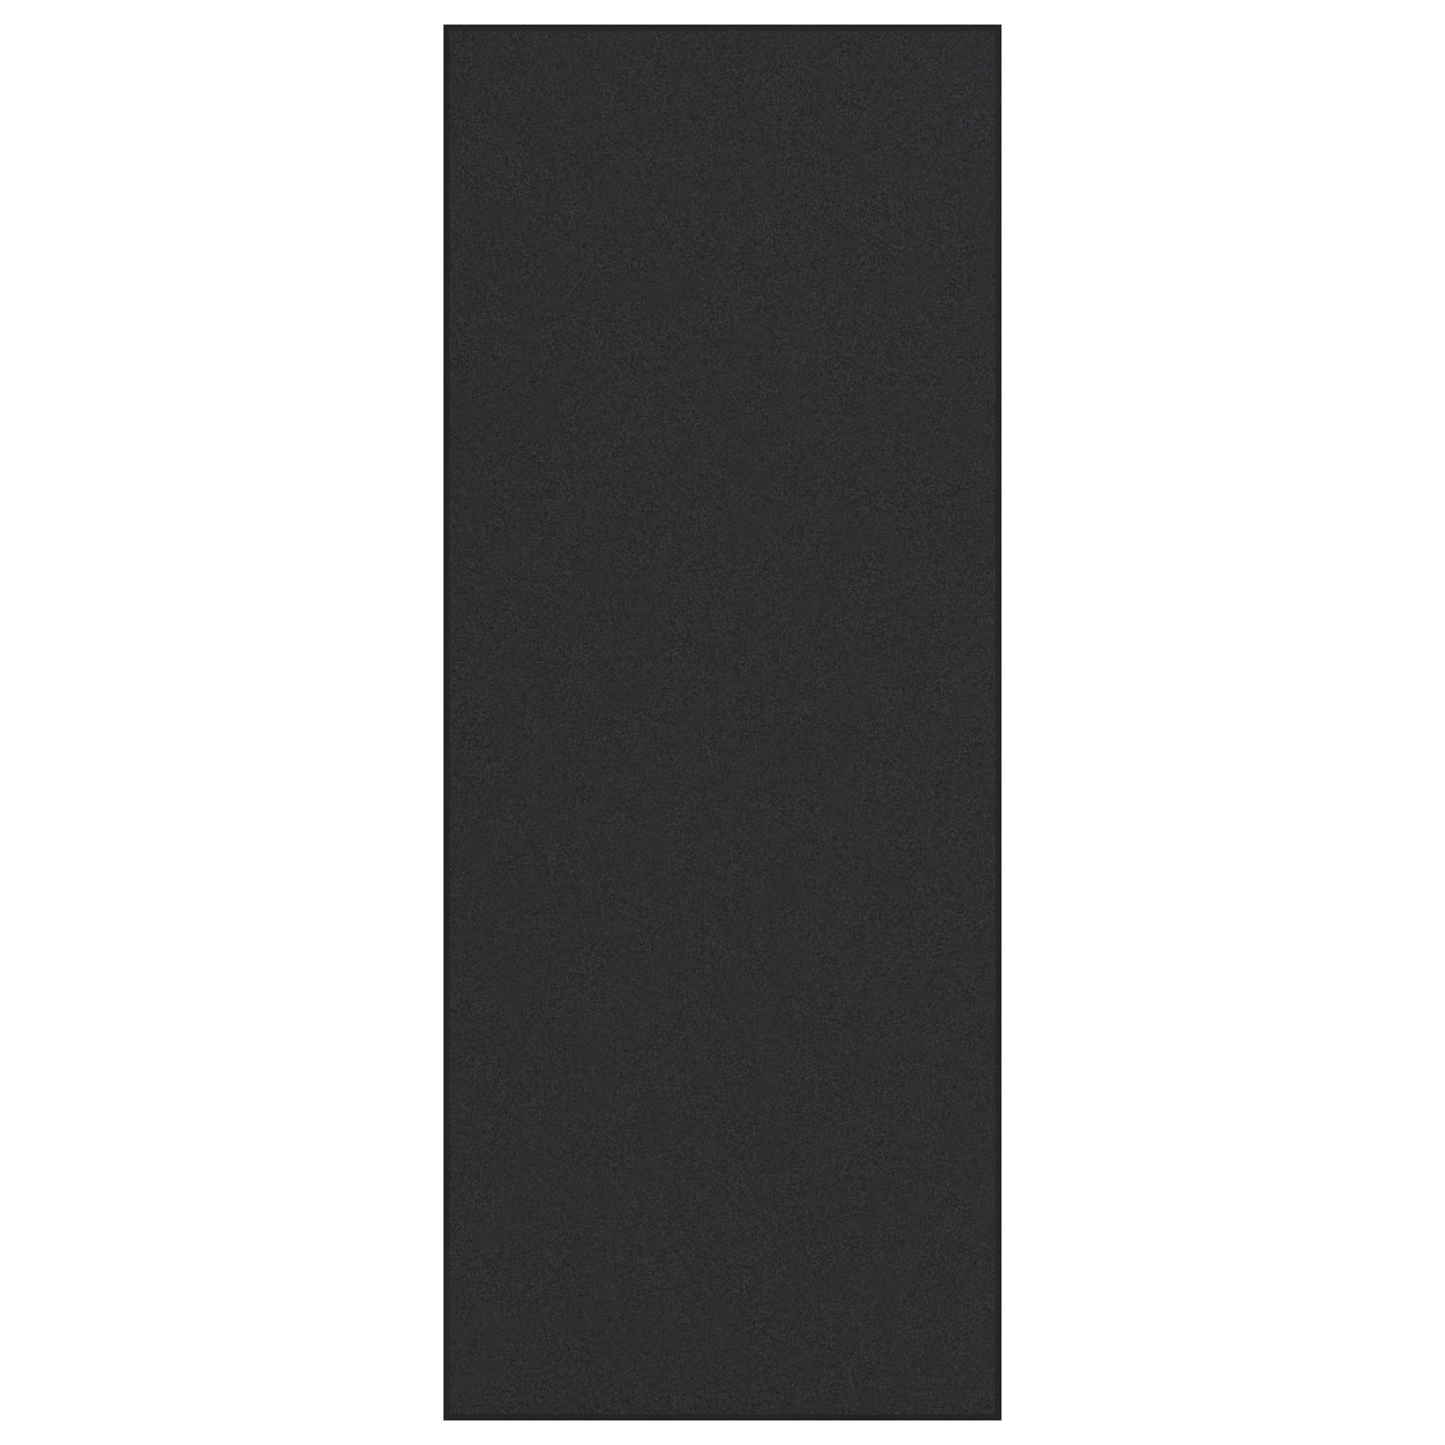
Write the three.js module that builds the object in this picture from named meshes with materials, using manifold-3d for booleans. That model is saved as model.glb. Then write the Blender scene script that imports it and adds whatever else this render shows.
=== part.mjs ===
// Adhesive-backed door kick plate. A textured face sheet is bonded to a black core board, and one bevel
// runs round both. The back carries a ladder of double-sided foam tape: a rail along each long edge and
// rungs between the rails. Every strip still has its release liner, with a tab to peel it by.
//
// Millimetres, +Z up. The plate stands on end: X runs across its short side, Z along its long side, and
// the face looks towards -Y. The origin is the centre of the plane that meets the door, which is the
// outer side of the liners.

import * as THREE from "three";
import { mergeVertices } from "three/addons/utils/BufferGeometryUtils.js";
import Module from "manifold-3d";

const INCH = 25.4;

// The plate: face sheet and core board together are 1/8 inch thick.
const PLATE_WIDTH = 12 * INCH;
const PLATE_LENGTH = 30 * INCH;
const PLATE_THICKNESS = INCH / 8;
const FACE_THICKNESS = 0.7;
const CORE_THICKNESS = PLATE_THICKNESS - FACE_THICKNESS;

// The bevel comes in from each edge by its run and leaves a narrow square land behind it.
const BEVEL_RUN = 3.75;
const EDGE_LAND = 0.7;
const BEVEL_DEPTH = PLATE_THICKNESS - EDGE_LAND;

// The foam tape and the ladder it is laid in.
const TAPE_WIDTH = INCH;
const TAPE_THICKNESS = 1.1;
const EDGE_MARGIN = INCH / 2; // bare back between the plate's edges and the tape
const RUNG_CLEARANCE = INCH / 2; // bare back between the end of a rung and the rail beside it
const RUNG_COUNT = 5;
const RAIL_LENGTH = PLATE_LENGTH - 2 * EDGE_MARGIN;
const RAIL_X = PLATE_WIDTH / 2 - EDGE_MARGIN - TAPE_WIDTH / 2;
const RUNG_LENGTH = 2 * (RAIL_X - TAPE_WIDTH / 2 - RUNG_CLEARANCE);
const RUNG_PITCH = (RAIL_LENGTH - TAPE_WIDTH) / (RUNG_COUNT - 1);

// A liner covers its strip and runs past one end as a tab with rounded corners.
const LINER_THICKNESS = 0.1;
const TAB_LENGTH = 10;
const TAB_CORNER_RADIUS = 5;
const CORNER_SEGMENTS = 8;

// Depths along Y, from the door forwards.
const TAPE_BACK = -LINER_THICKNESS;
const PLATE_BACK = TAPE_BACK - TAPE_THICKNESS;
const BOND_LINE = PLATE_BACK - CORE_THICKNESS; // where the face sheet meets the core board

const wasm = await Module();
wasm.setup();

const materials = {
  face: () => new THREE.MeshStandardMaterial({ color: 0x2e2f31, roughness: 0.7, metalness: 0 }),
  core: () => new THREE.MeshStandardMaterial({ color: 0x252525, roughness: 0.5, metalness: 0 }),
  tape: () => new THREE.MeshStandardMaterial({ color: 0x4a4c4f, roughness: 0.8, metalness: 0 }),
  liner: () => new THREE.MeshStandardMaterial({ color: 0xe4dfcf, roughness: 0.4, metalness: 0 }),
};

function toSolid(geometry) {
  const bare = geometry.clone();
  bare.deleteAttribute("normal");
  bare.deleteAttribute("uv");
  const merged = mergeVertices(bare);
  return new wasm.Manifold(
    new wasm.Mesh({
      numProp: 3,
      vertProperties: merged.attributes.position.array,
      triVerts: new Uint32Array(merged.index.array),
    }),
  );
}

function toGeometry(solid) {
  const mesh = solid.getMesh();
  const geometry = new THREE.BufferGeometry();
  geometry.setAttribute("position", new THREE.BufferAttribute(mesh.vertProperties, 3));
  geometry.setIndex(new THREE.BufferAttribute(mesh.triVerts, 1));
  geometry.computeVertexNormals();
  return geometry;
}

// How far the bevel has cut in from the plate's edge at a depth below the face.
function bevelInset(depth) {
  return BEVEL_RUN * Math.max(0, 1 - depth / BEVEL_DEPTH);
}

// The plate's cross-section between two depths, extruded symmetrically along its own normal. Y is
// measured from the bond line, so that the face sheet and the core board share that plane exactly.
function plateRun(span, runLength, front, back) {
  const depths = [front, BEVEL_DEPTH, back].filter((depth) => depth >= front && depth <= back);
  const side = depths.map((depth) => [span / 2 - bevelInset(depth), depth - FACE_THICKNESS]);
  const outline = [...side, ...side.map(([x, y]) => [-x, y]).reverse()];
  const section = new THREE.Shape(outline.map(([x, y]) => new THREE.Vector2(x, y)));
  const run = new THREE.ExtrudeGeometry(section, { depth: runLength, bevelEnabled: false });
  return run.translate(0, 0, -runLength / 2);
}

// A layer of the plate. Its bevels mitre at the corners because each pair of edges is cut in turn.
function bevelledLayer(front, back) {
  const lengthways = plateRun(PLATE_WIDTH, PLATE_LENGTH, front, back);
  const crossways = plateRun(PLATE_LENGTH, PLATE_WIDTH, front, back).rotateY(Math.PI / 2);
  return toGeometry(toSolid(lengthways).intersect(toSolid(crossways)));
}

function plateLayer(name, front, back, material) {
  const layer = new THREE.Mesh(bevelledLayer(front, back), material);
  layer.name = name;
  layer.position.y = BOND_LINE;
  return layer;
}

// A strip of tape that runs along Z, with its front on the plate.
function tapeStrip(name, length) {
  const geometry = new THREE.BoxGeometry(TAPE_WIDTH, TAPE_THICKNESS, length);
  const strip = new THREE.Mesh(geometry, materials.tape());
  strip.name = name;
  strip.position.y = TAPE_BACK - TAPE_THICKNESS / 2;
  return strip;
}

// A liner that runs along Z over a strip of the given length, with its tab past the upper end.
function linerStrip(name, length) {
  const side = TAPE_WIDTH / 2;
  const foot = -length / 2;
  const shoulder = length / 2 + TAB_LENGTH - TAB_CORNER_RADIUS;
  const outline = new THREE.Shape();
  outline.moveTo(-side, foot);
  outline.lineTo(side, foot);
  outline.absarc(side - TAB_CORNER_RADIUS, shoulder, TAB_CORNER_RADIUS, 0, Math.PI / 2);
  outline.absarc(TAB_CORNER_RADIUS - side, shoulder, TAB_CORNER_RADIUS, Math.PI / 2, Math.PI);
  outline.closePath();
  const geometry = new THREE.ExtrudeGeometry(outline, {
    depth: LINER_THICKNESS,
    curveSegments: CORNER_SEGMENTS,
    bevelEnabled: false,
  });
  geometry.rotateX(Math.PI / 2); // the outline stands up along Z and its outer side lies on the door plane
  const liner = new THREE.Mesh(geometry, materials.liner());
  liner.name = name;
  return liner;
}

// A strip and its liner, as one group that is placed on the back of the plate.
function linedStrip(prefix, suffix, length) {
  const strip = new THREE.Group();
  strip.add(tapeStrip(`${prefix}_tape${suffix}`, length));
  strip.add(linerStrip(`${prefix}_liner${suffix}`, length));
  return strip;
}

function rail(sideName, x) {
  const strip = linedStrip(`${sideName}_rail`, "", RAIL_LENGTH);
  strip.position.x = x;
  return strip;
}

function rung(number) {
  const strip = linedStrip("rung", `_${number}`, RUNG_LENGTH);
  strip.rotation.y = Math.PI / 2;
  strip.position.z = (number - (RUNG_COUNT + 1) / 2) * RUNG_PITCH;
  return strip;
}

const kickPlate = new THREE.Group();
kickPlate.add(plateLayer("face_sheet", 0, FACE_THICKNESS, materials.face()));
kickPlate.add(plateLayer("core_board", FACE_THICKNESS, PLATE_THICKNESS, materials.core()));
kickPlate.add(rail("left", -RAIL_X));
kickPlate.add(rail("right", RAIL_X));
for (let number = 1; number <= RUNG_COUNT; number += 1) {
  kickPlate.add(rung(number));
}

export default kickPlate;
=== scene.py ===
"""The looks of the adhesive-backed kick plate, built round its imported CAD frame.

Metres, +Z up. The plate stands on end with its textured face towards -Y and its taped back towards +Y.
"""

import math
import random

import bpy
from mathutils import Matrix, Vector, noise


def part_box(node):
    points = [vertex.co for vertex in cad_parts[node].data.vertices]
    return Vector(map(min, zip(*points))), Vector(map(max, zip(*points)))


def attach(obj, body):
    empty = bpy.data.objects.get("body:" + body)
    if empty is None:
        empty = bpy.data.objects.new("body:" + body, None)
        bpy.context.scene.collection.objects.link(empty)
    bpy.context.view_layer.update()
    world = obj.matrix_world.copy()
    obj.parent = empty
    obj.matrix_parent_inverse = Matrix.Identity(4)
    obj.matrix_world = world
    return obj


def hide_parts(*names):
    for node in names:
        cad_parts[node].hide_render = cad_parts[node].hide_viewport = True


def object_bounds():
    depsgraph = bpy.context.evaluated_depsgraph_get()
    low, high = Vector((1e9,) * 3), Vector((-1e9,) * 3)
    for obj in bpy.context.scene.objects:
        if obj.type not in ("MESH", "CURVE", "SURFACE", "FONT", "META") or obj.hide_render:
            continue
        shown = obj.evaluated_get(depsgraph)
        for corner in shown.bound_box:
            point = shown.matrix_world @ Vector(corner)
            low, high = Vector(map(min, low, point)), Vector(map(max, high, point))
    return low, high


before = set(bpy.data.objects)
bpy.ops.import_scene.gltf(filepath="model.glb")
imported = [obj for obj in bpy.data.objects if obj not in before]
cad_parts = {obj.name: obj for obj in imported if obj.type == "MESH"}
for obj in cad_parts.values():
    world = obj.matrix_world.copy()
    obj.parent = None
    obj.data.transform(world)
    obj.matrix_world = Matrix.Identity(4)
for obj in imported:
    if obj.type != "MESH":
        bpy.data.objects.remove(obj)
cad_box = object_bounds()

MM = 0.001
random.seed(12)

# Driving dimensions that the CAD boxes don't give.
EDGE_LAND = 0.7 * MM  # square edge left behind the bevel
TAB_CORNER_RADIUS = 5 * MM

# The grain of the face sheet.
GRAIN_PITCH = 1.55 * MM  # spacing of the mesh's vertices
GRAIN_JITTER = 0.25 * GRAIN_PITCH  # so that they don't lie in rows
GRAIN_DEPTH = 0.16 * MM
SWELL_SHARE = 0.2  # of the depth, that comes from slow swells
SWELLS_PER_METRE = 90
CHIP_DEPTH = 0.25 * MM  # deepest nick where the cutter met the grain
CHIP_RARITY = 4  # the higher, the fewer deep nicks
PEBBLES_PER_METRE = 1150
PEBBLE_CONTRAST = 0.36  # furthest, either way, that a pebble's colour moves along its ramp
PITS_PER_METRE = 900
PIT_CONTRAST = 0.42
PATCHES_PER_METRE = 70
PATCH_CONTRAST = (0.5, 1.8)  # how much the faintest and the strongest patches multiply it
CLOUDS_PER_METRE = 12
CLOUD_RANGE = (0.465, 0.505)  # places on the ramp that the grain varies round
GRAIN_RELIEF = 0.2 * MM

# The edges of the core board.
EDGE_PITCH = 4 * MM  # spacing of the mesh's vertices
EDGE_ROUNDING = 0.15 * MM
ROUNDING_STEP = math.pi / 12
EDGE_WOBBLE = 0.02 * MM  # how far inwards the planed edge wanders
WOBBLES_PER_METRE = 60
EDGE_SHADE_WIDTH = 1.3 * MM  # of the dark line of painted shade round the board's outer edge
EDGE_SHADE_CORE = 0.6 * EDGE_SHADE_WIDTH  # the part of it that is painted fully dark
SCRATCHES_PER_METRE = 1100
SCRATCH_STRETCH = 0.02  # of that rate along the scratches, so that they are long
SCRATCH_RELIEF = 0.02 * MM
CORE_CLOUDS_PER_METRE = 9

# The foam tape and its liners.
TAPE_PITCH = 1.5 * MM
TAPE_LAYERS = 5
CELL_DEPTH = 0.14 * MM  # deepest open cell in the cut sides
CELL_RARITY = 3  # the higher, the fewer deep cells
CELLS_PER_METRE = 2500
CELL_RELIEF = 0.15 * MM
CUT_DRIFT = 0.08 * MM  # how far inwards the knife wandered
DRIFTS_PER_METRE = 40
PHASE_SPAN = 50  # each strip takes its noise from a random place in this span, so that they differ
SIDE_PHASE = 10  # from that place to the noise of either side
LINER_PITCH = 3 * MM
LINER_COLUMNS = 10
LINER_SHARE = 0.9  # of its CAD thickness, so that it stays clear of the tape
LINER_RIPPLE = 0.06 * MM
RIPPLES_PER_METRE = 50
COCKLES_PER_METRE = 90
FIBRES_PER_METRE = 700
FIBRE_STRETCH = 0.25  # of that rate along the liner
LINER_CLOUDS_PER_METRE = 35
LINER_RELIEF = 0.6 * MM
TAB_PITCH = 1 * MM
TAB_CORNER_STEPS = 8
TAB_DROP = 0.6  # of the tape's thickness, by which a tab's tip has settled

# The studio.
PLATE_SHARE = 0.9664  # of the picture's height, taken up by the plate
CAMERA_DISTANCE = 2.0
LAMP_DISTANCE = 2.0
SUN_SPREAD = 40  # degrees, so that shadows are soft
SOFTBOX_SIZE = 0.8
BACKDROP_WHITE = 1.05  # just past white, so that it shows as pure white
SKY_GLOW = 0.39
FLOOR_GLOW = 0.64
FLOOR_GREY = 0.85
FLOOR_RADIUS = 4.0
FLOOR_SIDES = 96
FADE_START = 0.3  # distance from the plate's centre at which the floor starts to fade out
FADE_END = 1.5
FADE_LEAST = 0.65  # share of the backdrop's white in the floor where it starts to fade

# The places of a Mix node's two inputs and of its output, for each type of data.
MIX_SOCKETS = {"VECTOR": (4, 5, 1), "RGBA": (6, 7, 2)}
STEEP = 0.3  # a surface whose normal has more of Z than this leans up or down


def srgb(*levels):
    """A linear colour from 8-bit sRGB levels."""
    linear = [(v / 255 / 12.92) if v <= 10 else ((v / 255 + 0.055) / 1.055) ** 2.4 for v in levels]
    return (*linear, 1.0)


# ---------------------------------------------------------------- meshes


def evenly(start, end, pitch):
    """Numbers from start to end, about a pitch apart."""
    count = max(2, round((end - start) / pitch))
    return [start + (end - start) * k / count for k in range(count + 1)]


class ClosedMesh:
    """The vertices and faces of one closed mesh, added ring by ring. Edge shade is 1 on rings that carry a
    dark line of painted shade.
    """

    def __init__(self):
        self.points = []
        self.faces = []
        self.edge_shade = []

    # The value given with a ring's points is 1 where a dark line of painted shade goes and 0 elsewhere.
    def ring(self, points, edge_shade=0.0):
        start = len(self.points)
        self.points.extend(points)
        self.edge_shade.extend([edge_shade] * len(points))
        return list(range(start, len(self.points)))

    def band(self, first, second):
        """Quads between two rings of the same length, facing out."""
        count = len(first)
        for k in range(count):
            after = (k + 1) % count
            self.faces.append((first[k], second[k], second[after], first[after]))

    def cap(self, ring, facing_on=False):
        """Strips across a ring. They face against the way the bands run, or along it if facing_on."""
        last = len(ring) - 1
        for k in range(len(ring) // 2 - 1):
            quad = (ring[k], ring[k + 1], ring[last - k - 1], ring[last - k])
            self.faces.append(quad[::-1] if facing_on else quad)

    def piece(self, name, material, sharp_angle=30):
        mesh = bpy.data.meshes.new(name)
        mesh.from_pydata(self.points, [], self.faces)
        # Where the dark line of painted shade goes is passed to the material as a point attribute.
        mesh.attributes.new("edge_shade", "FLOAT", "POINT").data.foreach_set("value", self.edge_shade)
        mesh.materials.append(material)
        mesh.shade_smooth()
        mesh.set_sharp_from_angle(angle=math.radians(sharp_angle))
        made = bpy.data.objects.new(name, mesh)
        bpy.context.scene.collection.objects.link(made)
        return made


def finish_piece(piece, node):
    """Puts a finished piece in the place of its CAD node."""
    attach(piece, "root")
    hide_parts(node)
    return piece


def perimeter(half_x, half_z, y, columns, rows, wobble=0.0):
    """Points round an upright rectangle, anticlockwise from its lower left corner as its front shows.

    They wander inwards by up to the wobble.
    """
    across = [2 * i / columns - 1 for i in range(columns)]
    upward = [2 * j / rows - 1 for j in range(rows)]
    sides = [(a, -1) for a in across] + [(1, b) for b in upward]
    sides += [(-a, 1) for a in across] + [(-1, -b) for b in upward]
    points = []
    for a, b in sides:
        place = Vector((a * half_x, y, b * half_z)) * WOBBLES_PER_METRE
        inset = wobble * (0.5 + 0.5 * noise.noise(place))
        points.append((a * (half_x - inset), y, b * (half_z - inset)))
    return points


# ---------------------------------------------------------------- the plate

core_low, core_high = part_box("core_board")
face_low, face_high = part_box("face_sheet")

# How far the bevel comes in for each metre that it comes forwards.
BEVEL_SLOPE = (core_high.x - face_high.x) / (core_high.y - EDGE_LAND - core_low.y)


def grain_depth(x, z):
    """How far the grain dips below the face's highest plane at a point."""
    swell = 0.5 + 0.5 * noise.noise(Vector((x, 0, z)) * SWELLS_PER_METRE)
    return GRAIN_DEPTH * ((1 - SWELL_SHARE) * random.random() + SWELL_SHARE * swell)


def face_sheet_piece(front_material, cut_material):
    """The textured sheet: a pebbled front, and a rim cut by the bevel that meets it raggedly."""
    cut = BEVEL_SLOPE * (face_high.y - face_low.y)
    half_x, half_z = face_high.x - cut, face_high.z - cut
    columns = round(2 * half_x / GRAIN_PITCH)
    rows = round(2 * half_z / GRAIN_PITCH)

    def vertex(i, j):
        on_side, on_end = i in (0, columns), j in (0, rows)
        across, up = 2 * i / columns - 1, 2 * j / rows - 1
        x, z = across * half_x, up * half_z
        depth = grain_depth(x, z)
        if on_side or on_end:
            depth += CHIP_DEPTH * random.random() ** CHIP_RARITY
        # On the rim a deeper point lies further out, where the bevel cuts it.
        x += across * BEVEL_SLOPE * depth if on_side else random.uniform(-GRAIN_JITTER, GRAIN_JITTER)
        z += up * BEVEL_SLOPE * depth if on_end else random.uniform(-GRAIN_JITTER, GRAIN_JITTER)
        return (x, face_low.y + depth, z)

    shell = ClosedMesh()
    grid = [shell.ring([vertex(i, j) for i in range(columns + 1)]) for j in range(rows + 1)]
    for low, high in zip(grid, grid[1:]):
        for i in range(columns):
            shell.faces.append((low[i], low[i + 1], high[i + 1], high[i]))
    rim = grid[0][:-1] + [row[-1] for row in grid[:-1]]
    rim += grid[-1][:0:-1] + [row[0] for row in grid[:0:-1]]
    bond = shell.ring(perimeter(face_high.x, face_high.z, face_high.y, columns, rows))
    shell.band(rim, bond)
    shell.cap(bond, facing_on=True)
    piece = shell.piece("face_sheet_textured", front_material, sharp_angle=180)
    piece.data.materials.append(cut_material)
    cut_faces = piece.data.polygons[rows * columns:]  # all that follow the front's own
    for face in cut_faces:
        face.material_index = 1
    sharpen(piece.data, rim)
    sharpen(piece.data, bond)
    return finish_piece(piece, "face_sheet")


def sharpen(mesh, ring):
    """Marks the edges between a ring's own vertices as sharp."""
    members = set(ring)
    for edge in mesh.edges:
        if members.issuperset(edge.vertices):
            edge.use_edge_sharp = True


def core_board_piece(material):
    """The black board, with a planed bevel, eased edges with a dark line of painted shade round them, and
    a flat back.
    """
    width, height = core_high.x, core_high.z
    columns = round(2 * width / EDGE_PITCH)
    rows = round(2 * height / EDGE_PITCH)
    bevel_end = core_high.y - EDGE_LAND
    bevel_angle = math.atan2(1, BEVEL_SLOPE)
    setback = EDGE_ROUNDING / math.tan((math.pi / 2 + bevel_angle) / 2)
    rounding_centre = bevel_end + setback  # of a rounding that touches both bevel and square edge

    def on_bevel(inset, edge_shade):
        return (inset, bevel_end - inset / BEVEL_SLOPE, edge_shade)

    # The third value is 1 on the rings at the outer edge, painted dark as shade, and 0 where that shade
    # has faded out.
    section = [on_bevel(width - face_high.x, 0), on_bevel(EDGE_SHADE_WIDTH, 0), on_bevel(EDGE_SHADE_CORE, 1)]
    for turn in evenly(bevel_angle, math.pi / 2, ROUNDING_STEP):
        inset = EDGE_ROUNDING * (1 - math.sin(turn))
        section.append((inset, rounding_centre - EDGE_ROUNDING * math.cos(turn), 1))
    for turn in evenly(0, math.pi / 2, ROUNDING_STEP):
        inset = EDGE_ROUNDING * (1 - math.cos(turn))
        section.append((inset, core_high.y - EDGE_ROUNDING * (1 - math.sin(turn)), 1))
    section.append((EDGE_SHADE_WIDTH, core_high.y, 0))
    shell = ClosedMesh()
    rings = []
    for inset, y, edge_shade in section:
        loop = perimeter(width - inset, height - inset, y, columns, rows, EDGE_WOBBLE)
        rings.append(shell.ring(loop, edge_shade))
    shell.cap(rings[0])
    for first, second in zip(rings, rings[1:]):
        shell.band(first, second)
    shell.cap(rings[-1], facing_on=True)
    return finish_piece(shell.piece("core_board_bevelled", material), "core_board")


# ---------------------------------------------------------------- tape and liners


class Strip:
    """The place of one strip of tape: s runs along it towards its tab, a across it."""

    def __init__(self, tape_node):
        low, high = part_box(tape_node)
        self.centre = (low + high) / 2
        self.upright = high.z - low.z > high.x - low.x
        self.half_length = max(high.z - low.z, high.x - low.x) / 2
        self.half_width = min(high.z - low.z, high.x - low.x) / 2
        self.front, self.back = low.y, high.y

    def point(self, s, a, y):
        if self.upright:
            return (self.centre.x + a, y, self.centre.z + s)
        return (self.centre.x + s, y, self.centre.z - a)


def sweep(strip, stations, section):
    """A closed shell through the section at each station along a strip."""
    shell = ClosedMesh()
    rings = [shell.ring([strip.point(s, a, y) for a, y in section(s)]) for s in stations]
    shell.cap(rings[0])
    for first, second in zip(rings, rings[1:]):
        shell.band(first, second)
    shell.cap(rings[-1], facing_on=True)
    return shell


def tape_piece(node, material):
    """Foam tape with knife-cut sides, where the cells of the foam lie open."""
    strip = Strip(node)
    back = strip.back - LINER_RIPPLE  # clear of the liner wherever it ripples
    depths = [back + (strip.front - back) * k / TAPE_LAYERS for k in range(TAPE_LAYERS + 1)]
    phase = random.uniform(0, PHASE_SPAN)

    def section(s):
        def side(sign, y):
            pit = CELL_DEPTH * random.random() ** CELL_RARITY
            place = Vector((s * DRIFTS_PER_METRE, 0, phase + SIDE_PHASE * sign))
            drift = CUT_DRIFT * abs(noise.noise(place))
            return (sign * (strip.half_width - pit - drift), y)

        return [side(1, y) for y in depths] + [side(-1, y) for y in reversed(depths)]

    stations = evenly(-strip.half_length, strip.half_length, TAPE_PITCH)
    shell = sweep(strip, stations, section)
    return finish_piece(shell.piece(node + "_foam", material), node)


def liner_piece(node, tape_node, material):
    """A release liner that ripples a little on its tape, with a tab that has settled towards the plate."""
    strip = Strip(tape_node)
    low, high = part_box(node)
    tab = max(high.z - low.z, high.x - low.x) - 2 * strip.half_length
    thickness = LINER_SHARE * (high.y - low.y)
    shoulder = strip.half_length + tab - TAB_CORNER_RADIUS
    drop = TAB_DROP * (strip.back - strip.front)
    phase = random.uniform(0, PHASE_SPAN)

    def half_width(s):
        past = min(max(0.0, s - shoulder), TAB_CORNER_RADIUS)
        return strip.half_width - TAB_CORNER_RADIUS + math.sqrt(TAB_CORNER_RADIUS**2 - past**2)

    def outer(s, a):
        ripple = 0.5 - 0.5 * noise.noise(Vector((s * RIPPLES_PER_METRE, a * RIPPLES_PER_METRE, phase)))
        free = max(0.0, s - strip.half_length) / tab
        return high.y - LINER_RIPPLE * ripple - drop * free * free

    def section(s):
        half = half_width(s)
        across = [half * (2 * k / LINER_COLUMNS - 1) for k in range(LINER_COLUMNS + 1)]
        back = [(a, outer(s, a)) for a in across]
        return back + [(a, y - thickness) for a, y in reversed(back)]

    stations = evenly(-strip.half_length, strip.half_length, LINER_PITCH)
    stations += evenly(strip.half_length, shoulder, TAB_PITCH)[1:]
    turns = [math.pi / 2 * k / TAB_CORNER_STEPS for k in range(1, TAB_CORNER_STEPS + 1)]
    stations += [shoulder + TAB_CORNER_RADIUS * math.sin(turn) for turn in turns]
    shell = sweep(strip, stations, section)
    return finish_piece(shell.piece(node + "_paper", material), node)


# ---------------------------------------------------------------- materials


def new_material(name, **values):
    """A node material, its Principled shader set to these values."""
    material = bpy.data.materials.new(name)
    material.use_nodes = True
    tree = material.node_tree
    shader = tree.nodes["Principled BSDF"]
    for socket, value in values.items():
        shader.inputs[socket.replace("_", " ")].default_value = value
    return material, tree, shader


def add(tree, kind, inputs, **settings):
    """A node with these settings, its inputs set to values or linked to other nodes' outputs."""
    made = tree.nodes.new(kind)
    for key, value in settings.items():
        setattr(made, key, value)
    for socket, value in inputs.items():
        if isinstance(value, bpy.types.NodeSocket):
            tree.links.new(value, made.inputs[socket])
        else:
            made.inputs[socket].default_value = value
    return made


def own_space(tree):
    return add(tree, "ShaderNodeTexCoord", {}).outputs["Object"]


def grain(tree, per_metre, stretch=(1, 1, 1), detail=0.0, roughness=0.5, place=None):
    """Noise from 0 to 1 with this many cells to the metre, in the piece's own space or another."""
    place = place or own_space(tree)
    stretched = add(tree, "ShaderNodeMapping", {"Vector": place, "Scale": stretch}).outputs["Vector"]
    inputs = {"Vector": stretched, "Scale": per_metre, "Detail": detail, "Roughness": roughness}
    return add(tree, "ShaderNodeTexNoise", inputs).outputs["Fac"]


def spread(tree, value, low, high):
    """A 0 to 1 value moved to the range from low to high."""
    inputs = {"Value": value, "To Min": low, "To Max": high}
    return add(tree, "ShaderNodeMapRange", inputs).outputs["Result"]


def maths(tree, operation, *values):
    return add(tree, "ShaderNodeMath", dict(enumerate(values)), operation=operation).outputs["Value"]


def plus(tree, first, second):
    return maths(tree, "ADD", first, second)


def times(tree, first, second):
    return maths(tree, "MULTIPLY", first, second)


def mixed(tree, kind, share, first, second):
    """The first vector or colour, with a share of the second."""
    first_place, second_place, result_place = MIX_SOCKETS[kind]
    inputs = {0: share, first_place: first, second_place: second}
    return add(tree, "ShaderNodeMix", inputs, data_type=kind).outputs[result_place]


def along_the_edge(tree):
    """The piece's own space, turned where the surface leans up or down, so that Z runs with the edge."""
    place = own_space(tree)
    part = add(tree, "ShaderNodeSeparateXYZ", {"Vector": place}).outputs
    turned = add(tree, "ShaderNodeCombineXYZ", {"X": part["Z"], "Y": part["Y"], "Z": part["X"]})
    normal = add(tree, "ShaderNodeNewGeometry", {}).outputs["True Normal"]
    lean = add(tree, "ShaderNodeSeparateXYZ", {"Vector": normal}).outputs["Z"]
    on_end = maths(tree, "GREATER_THAN", maths(tree, "ABSOLUTE", lean), STEEP)
    return mixed(tree, "VECTOR", on_end, place, turned.outputs["Vector"])


def ramp(tree, value, *colours, start=0.0, end=1.0):
    """A colour by a value, blended between colours that lie evenly from start to end."""
    made = add(tree, "ShaderNodeValToRGB", {"Fac": value})
    elements = made.color_ramp.elements
    while len(elements) < len(colours):
        elements.new(1.0)
    for k, colour in enumerate(colours):
        elements[k].position = start + (end - start) * k / (len(colours) - 1)
        elements[k].color = colour
    return made.outputs["Color"]


def bump(tree, shader, height, distance):
    """Gives a shader relief, this distance deep for each 1 of height."""
    inputs = {"Height": height, "Distance": distance}
    tree.links.new(add(tree, "ShaderNodeBump", inputs).outputs["Normal"], shader.inputs["Normal"])


def cells(tree, per_metre):
    """Cells packed at random: the Distance from a cell's middle, and a random Color for each cell."""
    return add(tree, "ShaderNodeTexVoronoi", {"Vector": own_space(tree), "Scale": per_metre}).outputs


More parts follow.
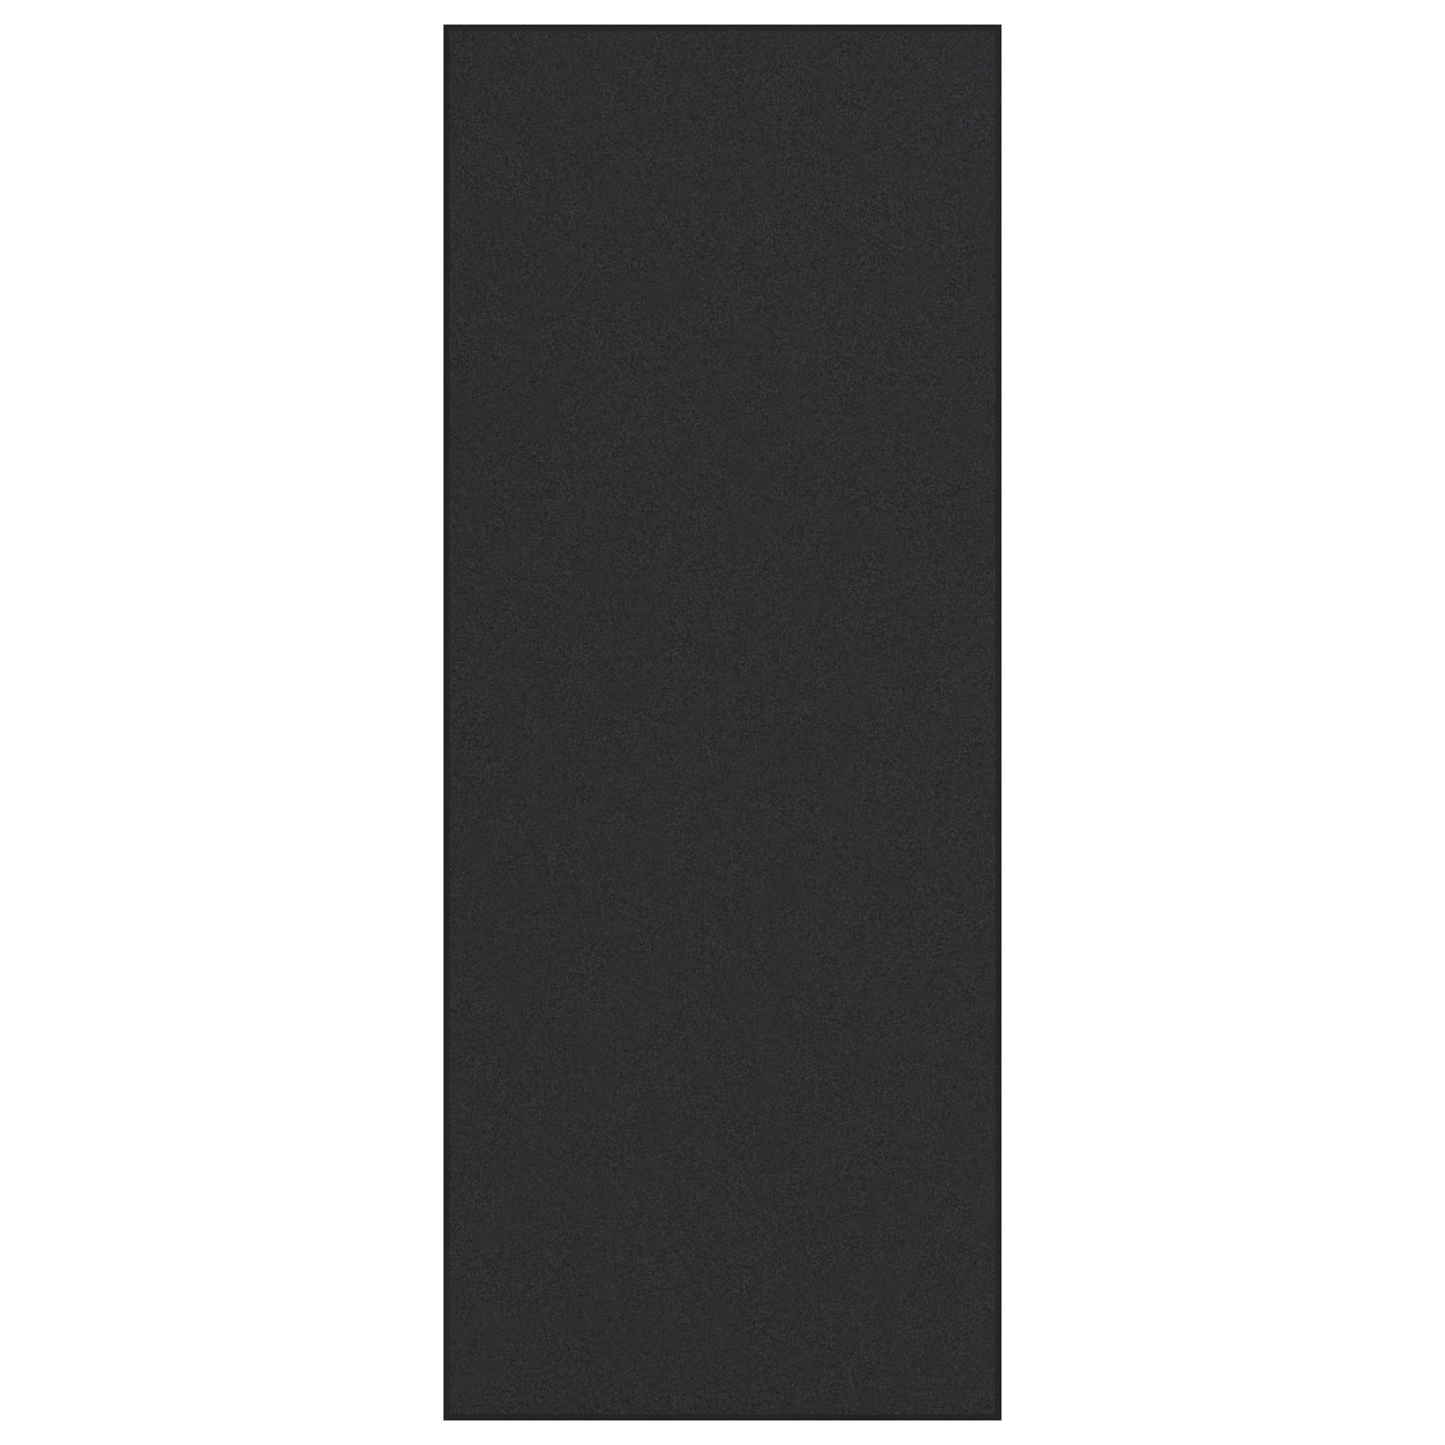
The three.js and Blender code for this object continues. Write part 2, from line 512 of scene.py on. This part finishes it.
def face_material():
    """Charcoal plastic with a fine pebbled grain, each pebble a little lighter or darker."""
    material, tree, shader = new_material("face_grain", Specular_IOR_Level=0.25)
    pebbles = cells(tree, PEBBLES_PER_METRE)
    shade = add(tree, "ShaderNodeRGBToBW", {"Color": pebbles["Color"]}).outputs["Val"]
    pits = grain(tree, PITS_PER_METRE)
    pebble_fleck = spread(tree, shade, -PEBBLE_CONTRAST, PEBBLE_CONTRAST)
    pit_fleck = spread(tree, pits, -PIT_CONTRAST, PIT_CONTRAST)
    patch = spread(tree, grain(tree, PATCHES_PER_METRE), *PATCH_CONTRAST)
    fleck = times(tree, plus(tree, pebble_fleck, pit_fleck), patch)
    cloud = spread(tree, grain(tree, CLOUDS_PER_METRE, detail=2.0), *CLOUD_RANGE)
    charcoals = (srgb(12, 13, 15), srgb(37, 38.5, 41.5), srgb(56, 58, 62))
    colour = ramp(tree, plus(tree, fleck, cloud), *charcoals)
    tree.links.new(colour, shader.inputs["Base Color"])
    tree.links.new(spread(tree, shade, 0.55, 0.75), shader.inputs["Roughness"])
    domes = spread(tree, pebbles["Distance"], 0.5, 0.0)
    bump(tree, shader, plus(tree, pits, domes), GRAIN_RELIEF)
    return material


def core_material():
    """Black pressed board: planed with the edge on the bevels, and sanded along its length behind."""
    material, tree, shader = new_material("core_black", Specular_IOR_Level=0.15)
    stretch = (1, 1, SCRATCH_STRETCH)
    scratch = grain(tree, SCRATCHES_PER_METRE, stretch, detail=3.0, place=along_the_edge(tree))
    cloud = grain(tree, CORE_CLOUDS_PER_METRE, detail=3.0)
    # Painted shade: a dark line mixed into the colour along the board's outer edge, where the attribute is
    # 1.
    painted_edge_shade = add(tree, "ShaderNodeAttribute", {}, attribute_name="edge_shade").outputs["Fac"]
    board = ramp(tree, plus(tree, spread(tree, scratch, 0, 0.6), spread(tree, cloud, 0, 0.4)),
                 srgb(23, 23, 24), srgb(39, 39, 40), start=0.25, end=0.75)
    colour = mixed(tree, "RGBA", painted_edge_shade, board, srgb(8, 8, 8))
    tree.links.new(colour, shader.inputs["Base Color"])
    tree.links.new(spread(tree, scratch, 0.5, 0.7), shader.inputs["Roughness"])
    bump(tree, shader, scratch, SCRATCH_RELIEF)
    return material


def tape_material():
    """Closed-cell acrylic foam, with open cells at the cut sides."""
    material, tree, shader = new_material("foam_grey", Roughness=0.8)
    hollow = cells(tree, CELLS_PER_METRE)["Distance"]
    colour = ramp(tree, hollow, srgb(90, 92, 95), srgb(56, 58, 61), start=0.1, end=0.9)
    tree.links.new(colour, shader.inputs["Base Color"])
    bump(tree, shader, hollow, CELL_RELIEF)
    return material


def liner_material(name, stretch):
    """Glassine paper: pale, faintly fibrous, with a soft gloss that shows how it cockles on the tape."""
    material, tree, shader = new_material(name, Coat_Weight=0.25, Coat_Roughness=0.2)
    fibre = grain(tree, FIBRES_PER_METRE, stretch, detail=3.0, roughness=0.7)
    cloud = grain(tree, LINER_CLOUDS_PER_METRE, detail=2.0)
    cockle = grain(tree, COCKLES_PER_METRE, detail=1.0)
    colour = ramp(tree, plus(tree, spread(tree, fibre, 0, 0.7), spread(tree, cloud, 0, 0.3)),
                  srgb(212, 206, 187), srgb(232, 227, 212), start=0.3, end=0.7)
    tree.links.new(colour, shader.inputs["Base Color"])
    tree.links.new(spread(tree, cloud, 0.4, 0.55), shader.inputs["Roughness"])
    bump(tree, shader, plus(tree, cockle, spread(tree, fibre, 0, 0.05)), LINER_RELIEF)
    return material


# ---------------------------------------------------------------- stage


def camera():
    """A square-on view from the front, in which the plate takes up its share of the height."""
    data = bpy.data.cameras.new("camera")
    data.type = "ORTHO"
    data.ortho_scale = (cad_box[1].z - cad_box[0].z) / PLATE_SHARE
    made = bpy.data.objects.new("camera", data)
    made.location = (0, cad_box[0].y - CAMERA_DISTANCE, (cad_box[0].z + cad_box[1].z) / 2)
    made.rotation_euler = (math.pi / 2, 0, 0)
    bpy.context.scene.collection.objects.link(made)
    bpy.context.scene.camera = made


def lamp(name, kind, azimuth, elevation, strength):
    """A lamp that shines on the plate from an azimuth, counted from the front (-Y) round towards +X, and
    an elevation.
    """
    data = bpy.data.lights.new(name, kind)
    data.energy = strength
    made = bpy.data.objects.new(name, data)
    a, e = math.radians(azimuth), math.radians(elevation)
    towards = Vector((math.sin(a) * math.cos(e), -math.cos(a) * math.cos(e), math.sin(e)))
    made.rotation_mode = "QUATERNION"
    made.rotation_quaternion = towards.to_track_quat("Z", "Y")
    made.location = towards * LAMP_DISTANCE
    made.visible_camera = False
    bpy.context.scene.collection.objects.link(made)
    return data


def soft_sun(name, azimuth, elevation, strength):
    lamp(name, "SUN", azimuth, elevation, strength).angle = math.radians(SUN_SPREAD)


def softbox(name, azimuth, elevation, watts):
    lamp(name, "AREA", azimuth, elevation, watts).size = SOFTBOX_SIZE


def studio_white(tree, kind, glow):
    """White as the camera sees it, and a glow of its own strength to everything else."""
    path = add(tree, "ShaderNodeLightPath", {})
    strength = spread(tree, path.outputs["Is Camera Ray"], glow, BACKDROP_WHITE)
    return add(tree, kind, {"Color": (1, 1, 1, 1), "Strength": strength}).outputs[0]


def backdrop():
    world = bpy.data.worlds.new("studio")
    world.use_nodes = True
    bpy.context.scene.world = world
    tree = world.node_tree
    tree.nodes.clear()
    add(tree, "ShaderNodeOutputWorld", {"Surface": studio_white(tree, "ShaderNodeBackground", SKY_GLOW)})


def floor():
    """A pale disc that fades into the backdrop. Where less of its glow shows, the glow is stronger."""
    turns = [k * math.tau / FLOOR_SIDES for k in range(FLOOR_SIDES)]
    rim = [(FLOOR_RADIUS * math.cos(t), FLOOR_RADIUS * math.sin(t), cad_box[0].z) for t in turns]
    mesh = bpy.data.meshes.new("floor")
    mesh.from_pydata(rim, [], [range(FLOOR_SIDES)])
    material, tree, shader = new_material("floor_pale", Roughness=0.9, Specular_IOR_Level=0.1)
    shader.inputs["Base Color"].default_value = (FLOOR_GREY, FLOOR_GREY, FLOOR_GREY, 1)
    distance = add(tree, "ShaderNodeVectorMath", {0: own_space(tree)}, operation="LENGTH").outputs["Value"]
    inputs = {"Value": distance, "From Min": FADE_START, "From Max": FADE_END, "To Min": FADE_LEAST}
    fade = add(tree, "ShaderNodeMapRange", inputs, interpolation_type="SMOOTHSTEP").outputs["Result"]
    white = studio_white(tree, "ShaderNodeEmission", spread(tree, fade, 2 * FLOOR_GLOW, FLOOR_GLOW))
    surface = add(tree, "ShaderNodeMixShader", {0: fade, 1: shader.outputs[0], 2: white}).outputs[0]
    tree.links.new(surface, tree.nodes["Material Output"].inputs["Surface"])
    mesh.materials.append(material)
    made = bpy.data.objects.new("floor", mesh)
    bpy.context.scene.collection.objects.link(made)


# ---------------------------------------------------------------- the scene

camera()
backdrop()
softbox("key_right", azimuth=52, elevation=32, watts=8.6)
soft_sun("key_left", azimuth=-42, elevation=4, strength=0.56)
soft_sun("top", azimuth=0, elevation=55, strength=0.33)
soft_sun("back_right", azimuth=140, elevation=35, strength=1.1)
soft_sun("back_left", azimuth=215, elevation=35, strength=1.5)
floor()
bpy.context.scene.view_settings.view_transform = "Standard"

core_look = core_material()
face_sheet_piece(face_material(), core_look)
core_board_piece(core_look)
tape_look = tape_material()
upright_liner_look = liner_material("liner_paper_upright", stretch=(1, 1, FIBRE_STRETCH))
level_liner_look = liner_material("liner_paper_level", stretch=(FIBRE_STRETCH, 1, 1))
for tape_node in sorted(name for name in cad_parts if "_tape" in name):
    liner_node = tape_node.replace("_tape", "_liner")
    tape_piece(tape_node, tape_look)
    liner_piece(liner_node, tape_node, upright_liner_look if "rail" in tape_node else level_liner_look)
